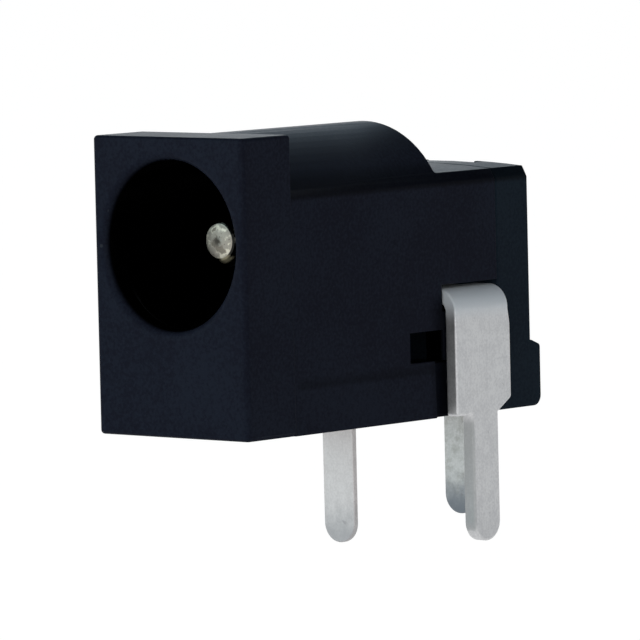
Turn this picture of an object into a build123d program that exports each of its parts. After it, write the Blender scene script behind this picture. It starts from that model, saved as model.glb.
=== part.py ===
"""Board-mounted dc barrel jack: moulded housing and rear cover, turned centre pin, three stamped contacts.

Millimetres. +Z is up from the board, -Y is the way the plug comes out, +X is the switch contact's side.
The origin lies on the board, under the middle of the body.
"""
import os
from math import sqrt

from build123d import *

# Plug bore
bore_radius = 3.15
bore_height = 7.1
bore_depth = 10.2
mouth_round = 0.35
entry_lip = 0.9

# Moulded body
barrel_wall = 0.87
barrel_end_wall = 1.05
side_wall = 0.5
web_thickness = 1.0
floor_thickness = 1.0
roof_thickness = 0.9
flange_overhang = 0.075
flange_thickness = 2.65
block_rise = 2.1
block_crown = 0.15
chamber_width = 4.6
pocket_width = 5.6
corner_round = 0.2
edge_round = 0.15
junction_round = 0.2
skirt_height = 1.8
skirt_draft = 0.06

# Rear cover
cover_length = 1.95
foot_depth = 0.5
foot_height = 2.53
foot_slope = 0.2
foot_round = 0.15
heel_round = 0.4
spigot_length = 1.0
joint_chamfer = 0.05
cover_round = 0.15
lip_thickness = 0.35
lip_opening = 2.5

# Turned centre pin
pin_radius = 1.0
pin_tip_distance = 2.7
pin_nose_length = 0.4
pin_dome_radius = 0.73
pin_dome_height = 0.1
pin_tail_radius = 0.75
rivet_radius = 1.05
rivet_height = 0.35

# Solder leads
lead_width = 1.5
lead_reach = 4.82
fit_clearance = 0.05

# Centre contact, riveted to the pin's tail
plate_width = 3.2
plate_thickness = 0.3
plate_above_pin = 1.45
plate_below_pin = 2.7
plate_corner = 0.5
plate_neck = 0.4
plate_step_drop = 0.7
plate_setback = 0.6
centre_lead_rise = 0.5

# Sleeve contact, a hairpin leaf in the chamber
leaf_thickness = 0.22
leaf_width = 3.9
tongue_width = 2.6
sleeve_lead_distance = 9.2
sleeve_lead_rise = 0.07
hairpin_radius = 0.75
hairpin_distance = 2.6
leaf_run = 0.6
leaf_bend_radius = 0.5
bump_distance = 6.4
bump_rise = 0.9
dip_lead = 1.0
dip_depth = 0.4
tail_flat = 1.2
tail_overlap = 1.65

# Switch contact, a bent plate through the side wall
switch_thickness = 0.55
switch_width = 3.1
switch_rise = 0.88
switch_reach_in = 1.3
switch_bend_radius = 0.3
switch_shoulder = 0.02
switch_shoulder_slope = 0.5
switch_lead_setback = 0.9
slot_clearance = 0.16
slot_end_gap = 0.1
blade_flare = 0.1
flare_drop = 0.9
flare_length = 0.6
window_length = 1.9
window_bottom = 2.15
window_top = 3.3
recess_depth = 0.2
recess_margin = 0.5

# Places that follow, as distances behind the front face or heights above the board
barrel_radius = bore_radius + barrel_wall
barrel_length = bore_depth + barrel_end_wall
half_width = bore_radius + side_wall
flange_width = 2 * (half_width + flange_overhang)
body_height = bore_height + barrel_radius
block_height = bore_height + block_rise
pocket_top = block_height - roof_thickness
web_back = bore_depth + web_thickness
switch_front = web_back + slot_end_gap
joint_distance = switch_front + switch_width + fit_clearance
body_length = joint_distance + cover_length
groove_back = body_length - lip_thickness
plate_back = groove_back - fit_clearance
plate_distance = plate_back - plate_thickness
plate_top = bore_height + plate_above_pin
plate_bottom = bore_height - plate_below_pin
centre_lead_distance = plate_distance + plate_setback
centre_lead_reach = lead_reach - centre_lead_rise
sleeve_lead_reach = lead_reach - sleeve_lead_rise
switch_top = bore_height - bore_radius + switch_rise
switch_underside = switch_top - switch_thickness
tail_hole_radius = pin_tail_radius + fit_clearance
lead_slot = lead_width + 2 * fit_clearance
front_y = -body_length / 2


def station(distance):
    """Y of a plane that lies this far behind the front face."""
    return front_y + distance


def section(distance):
    """Cross-section plane at that distance: local x is X, local y is Z, and it looks out of the mouth."""
    return Plane.XZ.offset(-station(distance))


def body_outline(top):
    """Arched body section in the current sketch: a round barrel on straight sides, cut off at top."""
    with Locations((0, bore_height)):
        Circle(barrel_radius)
    Rectangle(2 * half_width, bore_height, align=(Align.CENTER, Align.MIN))
    Rectangle(2 * half_width, top, align=(Align.CENTER, Align.MIN), mode=Mode.INTERSECT)


def block_outline():
    """Body section behind the barrel in the current sketch, with its slightly crowned top."""
    shoulder = min(half_width, sqrt(barrel_radius**2 - block_rise**2))
    body_outline(block_height)
    with BuildLine() as crown:
        ThreePointArc((-shoulder, block_height), (0, block_height + block_crown), (shoulder, block_height))
        Line((-shoulder, block_height), (shoulder, block_height))
    make_face(crown.edges())


def upper_rim(face):
    """Edges of a cross-section face, without the one that lies on the board."""
    return face.edges().filter_by(lambda edge: edge.center().Z > edge_round)


def room(width, low, high, start, end, centre=0.0, mode=Mode.SUBTRACT):
    """Straight-sided space, or block, between two distances behind the front face of the current part."""
    with BuildSketch(section(start)) as outline:
        with Locations((centre, low)):
            Rectangle(width, high - low, align=(Align.CENTER, Align.MIN))
    extrude(outline.sketch, amount=start - end, mode=mode)


def lead_outline(high, reach):
    """Straight solder lead with a full-round tip in the current sketch, hanging from the height high."""
    with Locations((0, lead_width / 2 - reach)):
        Circle(lead_width / 2)
        Rectangle(lead_width, high + reach - lead_width / 2, align=(Align.CENTER, Align.MIN))


os.makedirs("parts", exist_ok=True)

# Housing: one moulding, with the bore, the leaf's chamber, a rear pocket and the side slot
with BuildPart() as housing:
    with BuildSketch(Plane.XY):
        with Locations((0, front_y)):
            Rectangle(flange_width, flange_thickness, align=(Align.CENTER, Align.MIN))
        fillet(vertices().group_by(Axis.Y)[0], corner_round)
    extrude(amount=body_height)
    fillet(faces().sort_by(Axis.Z)[-1].edges().sort_by(Axis.Y)[:-1], edge_round)
    fillet(faces().sort_by(Axis.Z)[0].edges().filter_by(Axis.Y), edge_round)

    with BuildSketch(section(flange_thickness)):
        body_outline(body_height)
    extrude(amount=flange_thickness - barrel_length)
    fillet(faces().sort_by(Axis.Y)[-1].edges().filter_by(GeomType.CIRCLE), edge_round)

    with BuildSketch(section(flange_thickness)):
        block_outline()
    extrude(amount=flange_thickness - joint_distance)
    chamfer(upper_rim(faces().sort_by(Axis.Y)[-1]), joint_chamfer)
    end_y = station(barrel_length)
    barrel_end = faces().filter_by(lambda face: abs(face.center().Y - end_y) < edge_round / 10)
    fillet(barrel_end.edges().group_by(Axis.Z)[0], junction_round)

    # draft on the foot of each side wall
    recess_start = web_back - recess_margin
    with BuildSketch(section(flange_thickness)):
        with BuildLine():
            Polyline((half_width, 0), (half_width + skirt_draft, 0), (half_width, skirt_height), close=True)
        make_face()
        mirror(about=Plane.YZ)
    extrude(amount=flange_thickness - recess_start)

    # plug bore, and the chamber that lets the leaf rise into it
    with BuildSketch(section(0)):
        with Locations((0, bore_height)):
            Circle(bore_radius)
    extrude(amount=-bore_depth, mode=Mode.SUBTRACT)
    fillet(faces().sort_by(Axis.Y)[0].edges().filter_by(GeomType.CIRCLE), mouth_round)
    room(chamber_width, floor_thickness, bore_height, entry_lip, bore_depth)

    # hole for the pin's tail, and the way under the web for the leaf's tail
    with Locations(section(bore_depth) * Location((0, bore_height, 0))):
        Cylinder(tail_hole_radius, 2 * web_thickness, mode=Mode.SUBTRACT)
    room(chamber_width, floor_thickness, switch_underside, bore_depth, web_back)

    # rear pocket, open towards the cover
    room(pocket_width, floor_thickness, pocket_top, web_back, joint_distance)

    # slot in the floor for the sleeve lead, open towards the cover, with room for the lead's bend
    room(lead_slot, 0, floor_thickness, sleeve_lead_distance - leaf_thickness / 2, joint_distance)

    # slot for the switch contact's plate in the side wall, eased under the plate's bend
    room(half_width, switch_underside, switch_top + slot_clearance, web_back, joint_distance, half_width)
    bend_foot = switch_underside - switch_bend_radius
    room(2 * switch_bend_radius, bend_foot, switch_underside, web_back, joint_distance, half_width)

    # window beside the blade, and the shallow recess behind it
    window_front = web_back - window_length
    room(half_width, window_bottom, window_top, window_front, web_back, half_width)
    room(2 * recess_depth, 0, window_bottom, recess_start, joint_distance, half_width)
housing.part.label = "housing"
export_step(housing.part, "parts/housing.step")

# Rear cover: closes the pocket, clamps the switch contact, holds the centre contact's plate and has a foot
with BuildPart() as rear_cover:
    with BuildSketch(section(joint_distance)):
        block_outline()
    extrude(amount=joint_distance - body_length)
    chamfer(upper_rim(faces().sort_by(Axis.Y)[0]), joint_chamfer)
    fillet(upper_rim(faces().sort_by(Axis.Y)[-1]), cover_round)

    # foot that encloses the centre lead
    foot_start, foot_back = station(body_length - cover_round), station(body_length + foot_depth)
    with BuildSketch(Plane.YZ):
        with BuildLine():
            Polyline((foot_start, 0),
                     (foot_back, 0),
                     (foot_back, foot_height - foot_slope),
                     (station(body_length), foot_height),
                     (foot_start, foot_height),
                     close=True)
        make_face()
        fillet(vertices().group_by(Axis.X)[-1].sort_by(Axis.Y)[-1], foot_round)
        fillet(vertices().group_by(Axis.X)[-1].sort_by(Axis.Y)[0], heel_round)
    extrude(amount=half_width, both=True)

    # spigot that fills the top of the pocket and bears on the switch contact's plate
    spigot_width = pocket_width - 2 * fit_clearance
    spigot_top = pocket_top - fit_clearance
    spigot_start = joint_distance - spigot_length
    room(spigot_width, switch_top, spigot_top, spigot_start, joint_distance, mode=Mode.ADD)

    # groove for the plate, open at the top, and the openings behind and under the plate
    groove_width = plate_width + 2 * fit_clearance
    room(groove_width, plate_bottom, body_height, plate_distance, groove_back)
    room(lip_opening, foot_height, body_height, groove_back, body_length)
    room(lip_opening, foot_height, plate_bottom, plate_distance, groove_back)

    # slot through the foot for the centre lead
    lead_back = centre_lead_distance + plate_thickness + fit_clearance
    room(lead_slot, 0, foot_height, plate_distance, lead_back)

    with Locations(section(joint_distance) * Location((0, bore_height, 0))):
        Cylinder(tail_hole_radius, 2 * (plate_distance - joint_distance), mode=Mode.SUBTRACT)
rear_cover.part.label = "rear_cover"
export_step(rear_cover.part, "parts/rear_cover.step")

# Centre pin: turned, with a domed tip, a shoulder on the web and a tail that is riveted over the plate
tip_y = station(pin_tip_distance)
dome_edge = (tip_y + pin_dome_height, bore_height + pin_dome_radius)
nose_end = (tip_y + pin_nose_length, bore_height + pin_radius)
web_y = station(bore_depth)
rivet_y = station(plate_back)
rivet_edge = (rivet_y, bore_height + rivet_radius)
rivet_top = (rivet_y + rivet_height, bore_height)

with BuildPart() as centre_pin:
    with BuildSketch(Plane.YZ):
        with BuildLine():
            TangentArc((tip_y, bore_height), dome_edge, tangent=(0, 1))
            Polyline(dome_edge,
                     nose_end,
                     (web_y, bore_height + pin_radius),
                     (web_y, bore_height + pin_tail_radius),
                     (rivet_y, bore_height + pin_tail_radius),
                     rivet_edge)
            TangentArc(rivet_top, rivet_edge, tangent=(0, 1))
            Line(rivet_top, (tip_y, bore_height))
        make_face()
    revolve(axis=Axis((0, 0, bore_height), (0, 1, 0)))
centre_pin.part.label = "centre_pin"
export_step(centre_pin.part, "parts/centre_pin.step")

# Centre contact: a plate in the cover's groove, set back in one step to the solder lead
plate_y = station(plate_distance + plate_thickness / 2)
step_top = plate_bottom - plate_neck
centre_lead_y = station(centre_lead_distance + plate_thickness / 2)

with BuildPart() as centre_contact:
    with BuildSketch(Plane.YZ):
        with BuildLine():
            FilletPolyline((plate_y, plate_top),
                           (plate_y, step_top),
                           (centre_lead_y, step_top - plate_step_drop),
                           (centre_lead_y, -centre_lead_reach),
                           radius=plate_thickness)
        trace(line_width=plate_thickness)
    extrude(amount=plate_width / 2, both=True)
    with BuildSketch(Plane.XZ):
        with Locations((0, plate_bottom)):
            Rectangle(plate_width, plate_top - plate_bottom, align=(Align.CENTER, Align.MIN))
        fillet(vertices(), plate_corner)
        lead_outline(plate_bottom + plate_corner, centre_lead_reach)
    extrude(amount=body_length, both=True, mode=Mode.INTERSECT)
    with Locations(section(plate_distance) * Location((0, bore_height, 0))):
        Cylinder(tail_hole_radius, 4 * plate_thickness, mode=Mode.SUBTRACT)
centre_contact.part.label = "centre_contact"
export_step(centre_contact.part, "parts/centre_contact.step")

# Sleeve contact: a hairpin leaf whose bump rises into the bore and whose tail rests under the switch contact
base_z = floor_thickness + leaf_thickness / 2
leaf_z = base_z + 2 * hairpin_radius
bump_z = bore_height - bore_radius + bump_rise - leaf_thickness / 2
tail_z = switch_underside - leaf_thickness / 2
sleeve_lead_y = station(sleeve_lead_distance + leaf_thickness / 2)
hairpin_y = station(hairpin_distance)
tail_distance = switch_front + tail_overlap

with BuildPart() as sleeve_contact:
    # solder lead, bent down from the base strip
    with BuildSketch(Plane.YZ):
        with BuildLine():
            FilletPolyline((sleeve_lead_y, -sleeve_lead_reach),
                           (sleeve_lead_y, base_z),
                           (sleeve_lead_y - lead_width, base_z),
                           radius=leaf_thickness)
        trace(line_width=leaf_thickness)
    extrude(amount=lead_width / 2, both=True)
    with BuildSketch(Plane.XZ):
        lead_outline(floor_thickness + leaf_thickness, sleeve_lead_reach)
    extrude(amount=body_length, both=True, mode=Mode.INTERSECT)

    # base strip on the chamber's floor, and the hairpin at its front end
    with BuildSketch(Plane.YZ):
        with BuildLine():
            Line((sleeve_lead_y - lead_width / 2, base_z), (hairpin_y, base_z))
            ThreePointArc((hairpin_y, base_z), (hairpin_y - hairpin_radius, base_z + hairpin_radius),
                          (hairpin_y, leaf_z))
            Line((hairpin_y, leaf_z), (hairpin_y + leaf_run, leaf_z))
        trace(line_width=leaf_thickness)
    extrude(amount=leaf_width / 2, both=True)

    # rising leaf with its bump, and the flat tail
    with BuildSketch(Plane.YZ):
        with BuildLine():
            FilletPolyline((hairpin_y + leaf_run / 2, leaf_z),
                           (hairpin_y + leaf_run, leaf_z),
                           (station(bump_distance), bump_z),
                           (station(bore_depth - dip_lead), tail_z - dip_depth),
                           (station(tail_distance - tail_flat), tail_z),
                           (station(tail_distance), tail_z),
                           radius=leaf_bend_radius)
        trace(line_width=leaf_thickness)
    extrude(amount=tongue_width / 2, both=True)
sleeve_contact.part.label = "sleeve_contact"
export_step(sleeve_contact.part, "parts/sleeve_contact.step")

# Switch contact: a plate over the leaf's tail, bent down outside the wall into its solder lead
blade_x = half_width + switch_thickness / 2
blade_front = station(switch_front)
plate_rear = blade_front + switch_width
blade_rear = plate_rear + blade_flare
lead_rear = blade_front + switch_lead_setback + lead_width
flare_top = switch_top - flare_drop
switch_lead_y = blade_front + switch_lead_setback + lead_width / 2
switch_z = switch_top - switch_thickness / 2

with BuildPart() as switch_contact:
    with BuildSketch(section(switch_front)):
        with BuildLine():
            FilletPolyline((-switch_reach_in, switch_z),
                           (blade_x, switch_z),
                           (blade_x, -lead_reach),
                           radius=switch_bend_radius + switch_thickness / 2)
        trace(line_width=switch_thickness)
    extrude(amount=blade_front - blade_rear)
    with BuildSketch(Plane.YZ):
        with BuildLine():
            Polyline((blade_front, switch_shoulder),
                     (blade_front, switch_top),
                     (plate_rear, switch_top),
                     (plate_rear, flare_top),
                     (blade_rear, flare_top - flare_length),
                     (blade_rear, switch_shoulder + switch_shoulder_slope),
                     (lead_rear, switch_shoulder),
                     close=True)
        make_face()
        with Locations((switch_lead_y, 0)):
            lead_outline(switch_shoulder + switch_thickness, lead_reach)
    extrude(amount=body_length, both=True, mode=Mode.INTERSECT)
switch_contact.part.label = "switch_contact"
export_step(switch_contact.part, "parts/switch_contact.step")
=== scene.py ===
"""Finishes, light and view for a board-mounted dc barrel jack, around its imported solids.

Metres, in the frame of the solids: +Z is up from the board, -Y the way the plug comes out, +X the switch
contact's side.
"""
import math

import bmesh
import bpy
from mathutils import Matrix, Vector


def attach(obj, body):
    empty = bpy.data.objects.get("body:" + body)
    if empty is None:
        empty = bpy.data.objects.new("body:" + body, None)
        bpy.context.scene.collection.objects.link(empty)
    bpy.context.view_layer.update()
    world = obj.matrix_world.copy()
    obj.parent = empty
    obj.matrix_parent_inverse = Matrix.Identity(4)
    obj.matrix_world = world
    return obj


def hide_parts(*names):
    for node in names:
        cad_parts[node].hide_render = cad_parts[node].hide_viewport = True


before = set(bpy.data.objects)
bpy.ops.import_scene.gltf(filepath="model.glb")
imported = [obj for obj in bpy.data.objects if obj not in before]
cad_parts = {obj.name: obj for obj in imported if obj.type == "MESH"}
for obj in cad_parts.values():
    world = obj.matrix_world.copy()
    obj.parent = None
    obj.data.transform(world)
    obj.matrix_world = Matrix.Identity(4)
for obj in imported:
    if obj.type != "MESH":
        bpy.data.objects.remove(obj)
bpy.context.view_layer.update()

MM = 0.001
FRONT, BORE_HEIGHT = -8.2, 7.1

# ---------------------------------------------------------------------------------------------------------
# Housing. One moulding in black glass-filled nylon: the flange with the round mouth, the barrel, and the
# lower block that holds the contacts. Its tool was spark-eroded, so the skin has a fine dull grain; the
# edges have the tool's small radius.


class Finish:
    """One value in a finish's node tree. Sums, products and comparisons of values add Math nodes."""

    def __init__(self, tree, socket=None):
        self.tree, self.socket = tree, socket

    def node(self, kind, settings=(), inputs=(), output=0):
        """Adds a node: its type, its settings, then the values or links of its sockets by name or number."""
        made = self.tree.nodes.new("ShaderNode" + kind)
        for key, value in dict(settings).items():
            if key == "stops":
                ramp = made.color_ramp
                while len(ramp.elements) < len(value):
                    ramp.elements.new(0.5)
                for stop, (place, colour) in zip(ramp.elements, value):
                    stop.position, stop.color = place, (*colour, 1)
            else:
                setattr(made, key, value)
        for key, value in dict(inputs).items():
            if isinstance(value, Finish):
                self.tree.links.new(value.socket, made.inputs[key])
            else:
                made.inputs[key].default_value = value
        return Finish(self.tree, made.outputs[output])

    def sum(self, operation, first, second):
        return self.node("Math", {"operation": operation}, {0: first, 1: second})

    def __add__(self, other):
        return self.sum("ADD", self, other)

    def __sub__(self, other):
        return self.sum("SUBTRACT", self, other)

    def __rsub__(self, other):
        return self.sum("SUBTRACT", other, self)

    def __mul__(self, other):
        return self.sum("MULTIPLY", self, other)

    __radd__, __rmul__ = __add__, __mul__

    def __gt__(self, other):
        return self.sum("GREATER_THAN", self, other)


def millimetres(sheet):
    """The piece's own coordinates in millimetres."""
    place = sheet.node("TexCoord", output=3)
    return sheet.node("VectorMath", {"operation": "SCALE"}, {0: place, "Scale": 1 / MM})


def cloud(sheet, place, per_mm, detail=2.0, rough=0.5):
    """Soft noise between 0 and 1, with so many waves to the millimetre."""
    return sheet.node("TexNoise", {}, {"Vector": place, "Scale": per_mm, "Detail": detail, "Roughness": rough})


def band(sheet, value, low, high):
    """0 below low, 1 above high, and smooth between them."""
    return sheet.node("MapRange", {"interpolation_type": "SMOOTHSTEP"},
                      {"Value": value, "From Min": low, "From Max": high})


def blend(sheet, share, first, second):
    """Two colours, or a colour and a link, mixed by that share."""
    def colour(value):
        return value if isinstance(value, Finish) else (*value, 1)
    return sheet.node("Mix", {"data_type": "RGBA"}, {0: share, 6: colour(first), 7: colour(second)}, 2)


def new_sheet(name):
    """A new material, its node tree as a Finish, and its shader."""
    material = bpy.data.materials.new(name)
    material.use_nodes = True
    shader = material.node_tree.nodes["Principled BSDF"]
    return material, Finish(material.node_tree), shader


def feed(sheet, shader, **links):
    """Links values to the shader's sockets; Base_Color stands for Base Color."""
    for name, value in links.items():
        sheet.tree.links.new(value.socket, shader.inputs[name.replace("_", " ")])


def from_bore(sheet, place):
    """Distance from the bore's axis, in millimetres."""
    flat = sheet.node("VectorMath", {"operation": "MULTIPLY"}, {0: place, 1: (1, 0, 1)})
    off = sheet.node("VectorMath", {"operation": "SUBTRACT"}, {0: flat, 1: (0, 0, BORE_HEIGHT)})
    return sheet.node("VectorMath", {"operation": "LENGTH"}, {0: off}, 1)


def spots(sheet, place, points, size):
    """1 inside small patches about those points, in millimetres."""
    marks = 0
    for point in points:
        away = sheet.node("VectorMath", {"operation": "DISTANCE"}, {0: place, 1: point}, 1)
        marks = (1 - band(sheet, away, size * 0.5, size)) + marks
    return marks


def moulded(name, dark, pale, gloss, bored=False):
    """Black moulding compound: an eroded skin with slight flow clouds. The bore's core was polished, and painted
    shade colours the inside of the bore almost black; painted shade also darkens the barrel's crease, the wall
    behind the switch blade and a band above the skirt's step, and painted glints light the bore's lip and the
    mouth's rim.
    """
    material, sheet, shader = new_sheet(name)
    place = millimetres(sheet)
    flow = cloud(sheet, place, 0.35, 3.0)
    grain = cloud(sheet, place, 8.0, 3.0, 0.6)
    tone = blend(sheet, band(sheet, flow * 0.35 + grain * 0.65, 0.38, 0.62), dark, pale)
    skin = gloss + 0.16 * grain + 0.10 * flow
    relief = grain
    behind = sheet.node("SeparateXYZ", {}, {0: place}, 1)
    high = sheet.node("SeparateXYZ", {}, {0: place}, 2)
    # painted shade: the colour darkens towards black in the crease where the barrel meets the block's side walls
    crease_shade = band(sheet, high, 8.60, 8.79) * (1 - band(sheet, high, 8.95, 10.2))
    across = sheet.node("Math", {"operation": "ABSOLUTE"}, {0: sheet.node("SeparateXYZ", {}, {0: place}, 0)})
    crease_shade = crease_shade * band(sheet, behind, FRONT + 2.66, FRONT + 2.76) * band(sheet, across, 2.9, 3.3)
    tone = blend(sheet, crease_shade * 0.62, tone, (0.001, 0.001, 0.001))
    if bored:
        away = from_bore(sheet, place)
        low = 1 - band(sheet, high, BORE_HEIGHT - 2.4, BORE_HEIGHT - 1.5)
        round_hole = (1 - band(sheet, away, 3.45, 3.50)) * (1 - band(sheet, behind, FRONT + 11.0, FRONT + 11.1))
        chamber = (1 - band(sheet, across, 3.50, 3.58)) * band(sheet, high, 2.02, 2.08)
        chamber = chamber * (1 - band(sheet, high, 6.9, 7.1))
        hollow = sheet.node("Math", {"operation": "MAXIMUM"}, {0: round_hole, 1: chamber})
        # painted shade: the inside of the bore and the contact chamber behind the mouth is coloured almost black;
        # the core's polish only lowers the roughness and bump there
        bore_shade_and_polish = band(sheet, behind, FRONT + 0.06, FRONT + 0.30) * hollow
        side = sheet.node("SeparateXYZ", {}, {0: place}, 0)
        # painted shadow of the switch blade: the side wall behind and under the blade is darkened
        shade = band(sheet, side, 3.0, 3.1) * band(sheet, behind, 2.05, 3.05) * (1 - band(sheet, behind, 6.0, 6.4))
        shade = shade * (1 - band(sheet, high, 4.0, 4.9))
        # painted shade: a faint dark band along the side wall just above the skirt's step
        skirt_step_shade = band(sheet, high, 1.58, 1.78) * (1 - band(sheet, high, 1.80, 2.25)) * band(sheet, side, 3.58, 3.63)
        skirt_step_shade = skirt_step_shade * band(sheet, behind, FRONT + 2.7, FRONT + 3.2)
        tone = blend(sheet, skirt_step_shade * 0.34, tone, (0.001, 0.001, 0.001))
        tone = blend(sheet, shade * 0.75, tone, (0.0008, 0.0008, 0.0012))
        # painted highlight: a faint light line on the edge of the lip low inside the bore
        lip_glint = band(sheet, behind, FRONT + 0.82, FRONT + 0.85) * (1 - band(sheet, behind, FRONT + 0.92, FRONT + 0.95))
        lip_glint = lip_glint * low * band(sheet, away, 3.10, 3.13) * (1 - band(sheet, away, 3.17, 3.20))
        # painted glints: small light spots on the mouth's rim
        rim_glints = spots(sheet, place, RIM_GLINTS, 0.09) * band(sheet, grain, 0.40, 0.50)
        tone = blend(sheet, bore_shade_and_polish, tone, (0.0003, 0.0003, 0.0004))
        tone = blend(sheet, lip_glint * band(sheet, flow, 0.35, 0.60), tone, (0.03, 0.033, 0.036))
        tone = blend(sheet, rim_glints * 0.22, tone, (0.16, 0.17, 0.18))
        skin = skin * (1 - bore_shade_and_polish * 0.4)
        relief = grain * (1 - bore_shade_and_polish)
    feed(sheet, shader,
         Base_Color=tone,
         Roughness=skin,
         Normal=sheet.node("Bump", {}, {"Strength": 0.35, "Distance": 0.012 * MM, "Height": relief}))
    shader.inputs["Specular IOR Level"].default_value = 0.015
    return material


def own_piece(node, name, edge, sharp=35.0):
    """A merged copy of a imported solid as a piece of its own, its sharp edges rounded by that much."""
    body = bmesh.new()
    body.from_mesh(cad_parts[node].data)
    bmesh.ops.remove_doubles(body, verts=body.verts, dist=0.002 * MM)
    bmesh.ops.dissolve_limit(body, angle_limit=math.radians(0.5), verts=body.verts, edges=body.edges)
    hard = [side for side in body.edges
            if side.is_convex and side.calc_length() > 0.02 * MM and side.calc_face_angle() > math.radians(sharp)]
    bmesh.ops.bevel(body, geom=hard, offset=edge * MM, offset_type="OFFSET", segments=3, profile=0.5,
                    affect="EDGES", clamp_overlap=False)
    bmesh.ops.dissolve_degenerate(body, edges=body.edges, dist=0.0001 * MM)
    mesh = bpy.data.meshes.new(name)
    body.to_mesh(mesh)
    body.free()
    mesh.shade_smooth()
    mesh.set_sharp_from_angle(angle=math.radians(44))
    piece = bpy.data.objects.new(name, mesh)
    bpy.context.scene.collection.objects.link(piece)
    weigh = piece.modifiers.new("flat_faces", "WEIGHTED_NORMAL")
    weigh.keep_sharp = True
    bpy.context.view_layer.update()
    shown = piece.evaluated_get(bpy.context.evaluated_depsgraph_get())
    piece.data = bpy.data.meshes.new_from_object(shown)
    piece.modifiers.clear()
    return piece


# painted glints on the mouth's rim, in millimetres
RIM_GLINTS = ((-3.02, FRONT + 0.02, 8.32), (-3.08, FRONT + 0.03, 7.95), (-3.38, FRONT, 7.02), (3.03, FRONT + 0.12, 8.95))

housing_black = moulded("housing_plastic", (0.0150, 0.0166, 0.0285), (0.0214, 0.0262, 0.0420), 0.20, bored=True)
housing_edge = 0.03
housing = own_piece("housing", "housing_moulding", housing_edge)
housing.data.materials.append(housing_black)
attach(housing, "root")
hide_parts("housing")

# ---------------------------------------------------------------------------------------------------------
# Rear cover. A second moulding in the same compound from another tool, pressed into the back of the housing:
# its spigot clamps the switch contact and its grooved back holds the centre contact's plate.

# The cover's tones are lighter and bluer than the housing's: a painted lighter shade on the same compound.
cover_black = moulded("cover_plastic", (0.0148, 0.0226, 0.0345), (0.0202, 0.0318, 0.0455), 0.20)
cover_edge = 0.03
cover = own_piece("rear_cover", "cover_moulding", cover_edge)
cover.data.materials.append(cover_black)
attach(cover, "root")
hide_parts("rear_cover")

# ---------------------------------------------------------------------------------------------------------
# Centre pin. Brass rod turned in an automatic lathe and nickel plated; its domed tip is worn by plugs, and
# its tail is peened over the centre contact's plate behind the cover.


def turned_nickel(name):
    """Nickel over turned brass: tool rings and a tip mottled by wear; painted shade makes the shaft and cone nearly
    black, with a painted warm reflection low on the cone.
    """
    material, sheet, shader = new_sheet(name)
    place = millimetres(sheet)
    along = sheet.node("SeparateXYZ", {}, {0: place}, 1)
    wear = cloud(sheet, place, 2.6, 3.0, 0.55)
    pit = cloud(sheet, place, 5.5, 2.0)
    away = from_bore(sheet, place)
    tip = (1 - band(sheet, along, FRONT + 2.85, FRONT + 2.95)) * (1 - band(sheet, away, 0.61, 0.67))
    centre = 1 - band(sheet, away + (wear - 0.5) * 1.3 + (pit - 0.5) * 0.5, 0.24, 0.40)
    worn = tip * band(sheet, wear * 0.6 + pit * 0.4, 0.44, 0.54)
    # painted reflection: a warm light patch on the lower right of the pin's nose cone
    low = 1 - band(sheet, sheet.node("SeparateXYZ", {}, {0: place}, 2), BORE_HEIGHT - 0.65, BORE_HEIGHT - 0.45)
    low = low * band(sheet, sheet.node("SeparateXYZ", {}, {0: place}, 0), -0.20, 0.25)
    low = low * (1 - band(sheet, away, 0.80, 0.90))
    # behind the tip the pin is coloured nearly black as painted shade inside the bore
    plain = blend(sheet, tip, blend(sheet, low, (0.02, 0.02, 0.018), (0.42, 0.38, 0.26)), (0.80, 0.76, 0.64))
    tone = blend(sheet, worn * 0.75, plain, (0.28, 0.255, 0.225))
    tone = blend(sheet, centre * tip * 0.85, tone, (0.19, 0.165, 0.135))
    rings = sheet.node("TexWave", {"wave_type": "BANDS", "bands_direction": "Y"},
                       {"Vector": place, "Scale": 4.0, "Distortion": 0.6, "Detail": 2.0})
    feed(sheet, shader,
         Base_Color=blend(sheet, band(sheet, pit, 0.68, 0.74) * tip, tone, (0.10, 0.09, 0.085)),
         Roughness=0.08 + 0.05 * wear + tip * 0.42 + low * (1 - tip) * 0.50,
         Normal=sheet.node("Bump", {}, {"Strength": 0.5, "Distance": 0.006 * MM, "Height": rings * 0.3 + wear}))
    shader.inputs["Metallic"].default_value = 1.0
    return material


pin_nickel = turned_nickel("pin_metal")
pin_edge = 0.02
pin = own_piece("centre_pin", "turned_pin", pin_edge)
pin.data.materials.append(pin_nickel)
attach(pin, "root")
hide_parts("centre_pin")

# ---------------------------------------------------------------------------------------------------------
# Centre contact. Stamped from 0.3 mm brass strip and tin plated: a plate under the pin's peened tail, set
# back in one step to the solder lead. Handling has left brown blotches and small pits on the lead.


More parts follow.
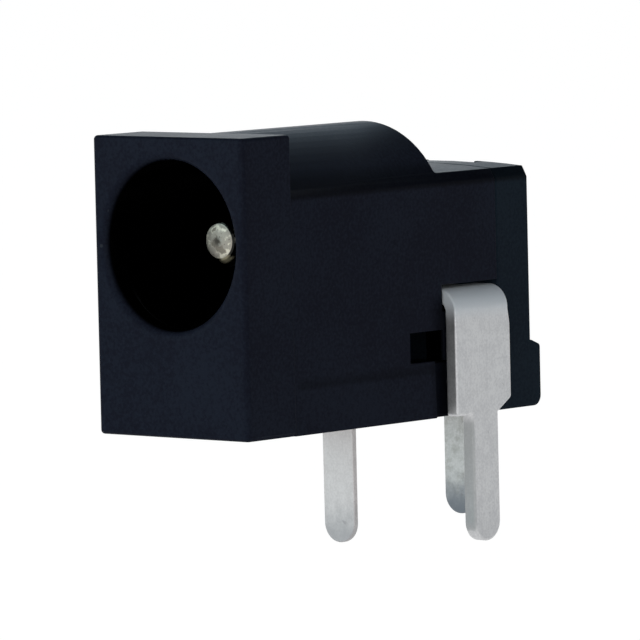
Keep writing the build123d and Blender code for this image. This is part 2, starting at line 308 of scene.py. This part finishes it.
def tinned(name, dark, pale, gloss, stain=0.0, tip=0.0, reach=4.8, bend_highlight=0.0, shaded_cut_end=None):
    """Satin tin on stamped strip: rolling lines along the lead, soft clouds, pits, stains and a duller tip."""
    material, sheet, shader = new_sheet(name)
    place = millimetres(sheet)
    high = sheet.node("SeparateXYZ", {}, {0: place}, 2)
    drawn = sheet.node("Mapping", {}, {"Vector": place, "Scale": (1.0, 1.0, 0.12)})
    lines = cloud(sheet, drawn, 9.0, 3.0, 0.6)
    mottle = cloud(sheet, place, 2.2, 4.0, 0.6)
    grain = cloud(sheet, place, 11.0, 2.0)
    pits = band(sheet, cloud(sheet, place, 3.4, 1.0), 0.765, 0.79)
    blotch = band(sheet, cloud(sheet, place, 2.6, 4.0, 0.65), 0.46, 0.66)
    share = band(sheet, mottle * 0.40 + lines * 0.20 + grain * 0.40, 0.38, 0.62)
    tone = blend(sheet, share, dark, pale)
    skin = gloss + 0.14 * mottle + 0.08 * lines
    if stain:
        tone = blend(sheet, blotch * stain, tone, (0.26, 0.255, 0.225))
    # painted light: the contact's bend is coloured a pale bluish white and made partly non-metallic, which brightens
    # it
    if bend_highlight:
        bend = band(sheet, high, 3.5, 4.4) * bend_highlight
        tone = blend(sheet, bend, tone, (0.90, 0.94, 0.97))
        skin = skin + bend * 0.25
        feed(sheet, shader, Metallic=1 - bend * (0.35 + 0.3 * mottle))
    if shaded_cut_end is not None:
        # the blade's front end above the board is coloured a darker grey: partly the bare sheared edge, partly a
        # painted dark reflection of the housing beside it
        along = sheet.node("SeparateXYZ", {}, {0: place}, 1)
        edge = (1 - band(sheet, along, shaded_cut_end + 0.02, shaded_cut_end + 0.12)) * (1 - band(sheet, high, -0.4, 0.0))
        tone = blend(sheet, edge * (0.35 + 0.4 * mottle), tone, (0.24, 0.26, 0.26))
    if tip:
        dull = (1 - band(sheet, high + (mottle - 0.5) * 1.2, 0.1 - reach, 1.9 - reach)) * tip
        tone = blend(sheet, dull, tone, (0.17, 0.185, 0.205))
    tone = blend(sheet, pits * 0.25, tone, (0.12, 0.12, 0.125))
    feed(sheet, shader,
         Base_Color=tone,
         Roughness=skin,
         Normal=sheet.node("Bump", {}, {"Strength": 0.4, "Distance": 0.006 * MM, "Height": lines * 0.5 + mottle}))
    shader.inputs["Metallic"].default_value = 1.0
    return material


contact_tin = tinned("centre_contact_tin", (0.44, 0.44, 0.43), (0.54, 0.54, 0.53), 0.40, stain=0.45, tip=1.0,
                     reach=4.32)
strip_edge = 0.03
centre_contact = own_piece("centre_contact", "centre_contact_strip", strip_edge)
centre_contact.data.materials.append(contact_tin)
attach(centre_contact, "root")
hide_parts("centre_contact")

# ---------------------------------------------------------------------------------------------------------
# Sleeve contact. A hairpin of spring bronze strip, tin plated: its lead comes down through the floor, its
# bump rises into the bore and its tail rests against the switch contact's plate.

leaf_tin = tinned("leaf_tin", (0.51, 0.49, 0.485), (0.60, 0.58, 0.575), 0.36, tip=0.45, reach=4.75)
leaf = own_piece("sleeve_contact", "sleeve_contact_leaf", strip_edge)
leaf.data.materials.append(leaf_tin)
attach(leaf, "root")
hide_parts("sleeve_contact")

# ---------------------------------------------------------------------------------------------------------
# Switch contact. Stamped from thicker tinned brass and bent over the side wall: the inner plate is the
# leaf's stop, the outer blade stands off the wall and narrows at a shoulder to the solder lead.

switch_tin = tinned("switch_contact_tin", (0.55, 0.555, 0.565), (0.67, 0.675, 0.68), 0.44, tip=0.10, reach=4.8,
                    bend_highlight=1.0, shaded_cut_end=4.0)
switch_edge = 0.10
switch_contact = own_piece("switch_contact", "switch_contact_blade", switch_edge)
switch_contact.data.materials.append(switch_tin)
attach(switch_contact, "root")
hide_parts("switch_contact")

# ---------------------------------------------------------------------------------------------------------
# Bench. A white table under the tips of the leads, soft light from the left and right, and the camera that
# was fitted to the photograph's mouth and body corners.

WHITE = (1.0, 1.0, 1.0, 1.0)

table_height = -0.00485
table_mesh = bpy.data.meshes.new("table")
table_shape = bmesh.new()
bmesh.ops.create_circle(table_shape, cap_ends=True, segments=64, radius=1.5,
                        matrix=Matrix.Translation((0, 0, table_height)))
table_shape.to_mesh(table_mesh)
table_shape.free()
table = bpy.data.objects.new("table", table_mesh)
bpy.context.scene.collection.objects.link(table)
table_white, table_sheet, table_shader = new_sheet("table_white")
table_shader.inputs["Base Color"].default_value = (0.9, 0.9, 0.9, 1)
table_shader.inputs["Roughness"].default_value = 0.9
table_shader.inputs["Specular IOR Level"].default_value = 0.0
rays = table_sheet.node("LightPath")
mirrored = Finish(table_sheet.tree, rays.socket.node.outputs["Is Glossy Ray"])
glow = table_sheet.node("Emission", {}, {"Color": WHITE, "Strength": 1.10})
plain = Finish(table_sheet.tree, table_shader.outputs["BSDF"])
table_look = table_sheet.node("MixShader", {}, {0: rays * 0.90 + mirrored * 0.85, 1: plain, 2: glow})
table_sheet.tree.links.new(table_look.socket, table_sheet.tree.nodes["Material Output"].inputs["Surface"])
table_white.cycles.emission_sampling = "NONE"
table_mesh.materials.append(table_white)

# the room is bright at eye level and dimmer overhead
eye_level, overhead = 1.0, 0.04
world = bpy.data.worlds.new("room")
world.use_nodes = True
bpy.context.scene.world = world
room = Finish(world.node_tree)
rays = room.node("LightPath")
clear = Finish(world.node_tree, rays.socket.node.outputs["Is Transmission Ray"])
toward = room.node("TexCoord")
above = room.node("SeparateXYZ", {}, {0: toward}, 2)
level = eye_level - (eye_level - overhead) * band(room, above, 0.03, 0.32)
window = Vector((-0.15, 0.75, 0.62)).normalized()
facing = room.node("VectorMath", {"operation": "DOT_PRODUCT"}, {0: toward, 1: window}, 1)
level = level + 0.2 * band(room, facing, 0.86, 0.97)
wall = Vector((-0.66, 0.75, 0.02)).normalized()
facing = room.node("VectorMath", {"operation": "DOT_PRODUCT"}, {0: toward, 1: wall}, 1)
level = level + 0.8 * band(room, facing, 0.80, 0.97)
back_light = world.node_tree.nodes["Background"]
cool = band(room, above, 0.03, 0.30) * (1 - rays - clear)
feed(room, back_light,
     Color=blend(room, cool, (1.0, 1.0, 1.0), (0.66, 0.84, 1.0)),
     Strength=rays + clear + (1 - rays - clear) * level)


def soft_light(name, direction, distance, size, power, tint):
    """A square soft box that faces the jack."""
    lamp = bpy.data.lights.new(name, "AREA")
    lamp.size, lamp.energy, lamp.color = size, power, tint
    box = bpy.data.objects.new(name, lamp)
    box.location = Vector(direction).normalized() * distance
    box.rotation_euler = Vector(direction).to_track_quat("Z", "Y").to_euler()
    bpy.context.scene.collection.objects.link(box)


soft_light("light_left", (-0.8, -0.9, 0.40), 0.35, 0.22, 0.28, (0.74, 0.95, 1.0))
soft_light("light_front", (0.62, -0.75, 0.22), 0.40, 0.20, 0.26, (1.0, 1.0, 1.0))

# the camera's angles about the jack, its aim in millimetres and its distance
azimuth, elevation, roll = math.radians(41.317), math.radians(4.502), math.radians(-1.329)
aim = Vector((0.0, 0.176, 3.734)) * MM
reach = 276.404 * MM
half_pixel = 0.0188 * MM
backward = Vector((math.sin(azimuth) * math.cos(elevation), -math.cos(azimuth) * math.cos(elevation),
                   math.sin(elevation)))
level = Vector((math.cos(azimuth), math.sin(azimuth), 0))
upright = backward.cross(level)
right = level * math.cos(roll) + upright * math.sin(roll)
up = upright * math.cos(roll) - level * math.sin(roll)
eye = bpy.data.cameras.new("camera")
eye.lens, eye.sensor_width = 412.76, 36.0
eye.clip_start, eye.clip_end = 0.01, 10.0
camera = bpy.data.objects.new("camera", eye)
turn = Matrix((right, up, backward)).transposed().to_4x4()
camera.matrix_world = Matrix.Translation(aim + backward * reach + (up - right) * half_pixel) @ turn
bpy.context.scene.collection.objects.link(camera)
bpy.context.scene.camera = camera
bpy.context.scene.view_settings.view_transform = "Standard"
